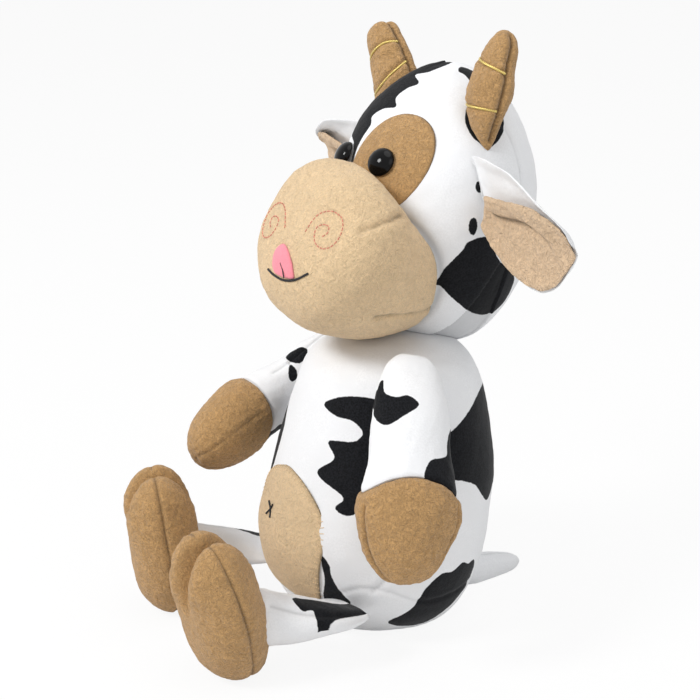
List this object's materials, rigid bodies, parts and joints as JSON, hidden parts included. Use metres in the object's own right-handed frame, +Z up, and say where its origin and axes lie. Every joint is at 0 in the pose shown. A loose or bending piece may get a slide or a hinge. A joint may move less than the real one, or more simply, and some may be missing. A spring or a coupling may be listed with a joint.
{
  "type": "stuffed cow toy",
  "caption": "Seated stuffed cow in short-pile cloth with a turned head, cloth horns, drooping ears, hanging arms, outstretched legs with cloven feet and a short tail.",
  "frame": {"origin": "middle of the flat seat under the torso", "axes": "+Z up, -Y is where the toy's belly faces, +X is the toy's own left side"},
  "size_m": [0.2291, 0.2248, 0.3131],
  "materials": {
    "pile_white": "white short-pile cloth with black patches",
    "fleece_tan": "tan fleece with a fine curly nap",
    "fleece_pale": "pale tan fleece",
    "lining_pale": "pale lining fleece",
    "fibre_filling": "loose white fibre",
    "felt_pink": "pink felt",
    "thread_dark": "dark embroidery thread",
    "thread_nose": "dusty rose embroidery thread",
    "thread_gold": "gold embroidery thread",
    "eye_black": "polished black plastic",
    "washer_white": "plain white plastic"
  },
  "bodies": {
    "torso": {"torso_shell": "pile_white", "torso_stuffing": "fibre_filling", "belly_patch": "fleece_pale", "navel_stitch": "thread_dark"},
    "head": {"head_shell": "pile_white", "head_stuffing": "fibre_filling", "muzzle": "fleece_pale", "eye_patch": "fleece_tan", "tongue": "felt_pink", "mouth_stitch": "thread_dark", "nostril_stitch_left": "thread_nose", "nostril_stitch_right": "thread_nose", "eye_left": "eye_black", "eye_right": "eye_black", "eye_washer_left": "washer_white", "eye_washer_right": "washer_white", "horn_left": "fleece_tan", "horn_right": "fleece_tan", "horn_band_lower_left": "thread_gold", "horn_band_upper_left": "thread_gold", "horn_band_lower_right": "thread_gold", "horn_band_upper_right": "thread_gold"},
    "ear_on_left": {"ear_left": "pile_white", "ear_lining_left": "lining_pale"},
    "ear_on_right": {"ear_right": "pile_white", "ear_lining_right": "lining_pale"},
    "arm_on_left": {"arm_sleeve_left": "pile_white", "arm_mitt_left": "fleece_tan", "arm_stuffing_left": "fibre_filling"},
    "arm_on_right": {"arm_sleeve_right": "pile_white", "arm_mitt_right": "fleece_tan", "arm_stuffing_right": "fibre_filling"},
    "leg_on_left": {"leg_sleeve_left": "pile_white", "foot_left": "fleece_tan", "leg_stuffing_left": "fibre_filling"},
    "leg_on_right": {"leg_sleeve_right": "pile_white", "foot_right": "fleece_tan", "leg_stuffing_right": "fibre_filling"},
    "tail_end": {"tail": "pile_white"}
  },
  "joints": [
    {"name": "head_turn", "type": "hinge", "parent": "torso", "child": "head", "pos_m": [0, 0.007, 0.155], "axis": [0, 0, 1], "range_deg": [-35, 12], "stiffness_Nm_per_rad": 0.6},
    {"name": "ear_left_flap", "type": "hinge", "parent": "head", "child": "ear_on_left", "pos_m": [0.0418, 0.03597, 0.22394], "axis": [-0.2204, 0.97, 0.1024], "range_deg": [-18, 18], "stiffness_Nm_per_rad": 0.05},
    {"name": "ear_right_flap", "type": "hinge", "parent": "head", "child": "ear_on_right", "pos_m": [-0.07037, 0.03789, 0.22444], "axis": [0.0847, 0.8984, 0.431], "range_deg": [-18, 18], "stiffness_Nm_per_rad": 0.05},
    {"name": "arm_left_swing", "type": "hinge", "parent": "torso", "child": "arm_on_left", "pos_m": [0.04428, -0.00912, 0.13004], "axis": [-0.8773, 0.3193, -0.3584], "range_deg": [-35, 60], "stiffness_Nm_per_rad": 0.4},
    {"name": "arm_right_swing", "type": "hinge", "parent": "torso", "child": "arm_on_right", "pos_m": [-0.04592, -0.00971, 0.124], "axis": [-0.8773, -0.3193, 0.3584], "range_deg": [-75, 18], "stiffness_Nm_per_rad": 0.4},
    {"name": "leg_left_raise", "type": "hinge", "parent": "torso", "child": "leg_on_left", "pos_m": [0.04059, -0.04059, 0.025], "axis": [-0.809, -0.5878, 0], "range_deg": [-60, 15], "stiffness_Nm_per_rad": 0.4},
    {"name": "leg_right_raise", "type": "hinge", "parent": "torso", "child": "leg_on_right", "pos_m": [-0.04059, -0.04059, 0.025], "axis": [-0.809, 0.5878, 0], "range_deg": [-60, 10], "stiffness_Nm_per_rad": 0.4},
    {"name": "tail_wag", "type": "hinge", "parent": "torso", "child": "tail_end", "pos_m": [0, 0.04535, 0.006], "axis": [0, 0, 1], "range_deg": [-30, 30], "stiffness_Nm_per_rad": 0.05}
  ]
}
